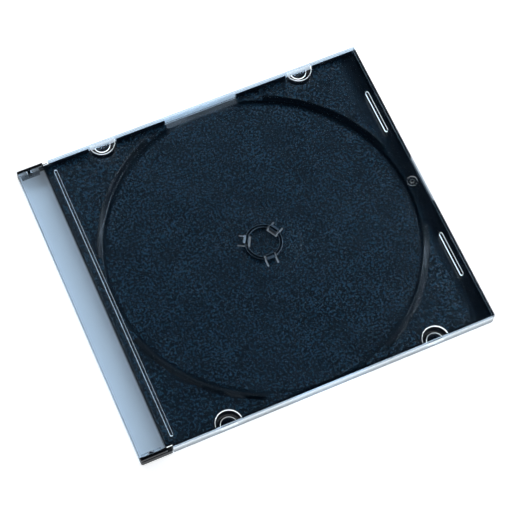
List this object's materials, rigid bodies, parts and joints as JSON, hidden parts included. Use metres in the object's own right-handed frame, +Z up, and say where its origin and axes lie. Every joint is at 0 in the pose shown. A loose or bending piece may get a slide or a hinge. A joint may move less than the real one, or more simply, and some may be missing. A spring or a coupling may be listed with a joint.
{
  "type": "slim cd case",
  "caption": "Slim disc case with a black moulded tray, a snap hub for one disc and a clear lid hinged on two pins.",
  "frame": {"origin": "centre of the closed case's underside", "axes": "+X from the spine to the opening edge, +Y to the left of someone who looks along +X, +Z up through the lid"},
  "size_m": [0.142, 0.125, 0.0052],
  "materials": {
    "black_styrene": "moulded black polystyrene with a fine matte grain",
    "clear_styrene": "clear polished polystyrene"
  },
  "bodies": {
    "tray": {"base_tray": "black_styrene"},
    "cover": {"lid": "clear_styrene"}
  },
  "joints": [
    {"name": "lid_hinge", "type": "hinge", "parent": "tray", "child": "cover", "pos_m": [-0.0663, 0, 0.0026], "axis": [0, -1, 0], "range_deg": [0, 180]}
  ]
}
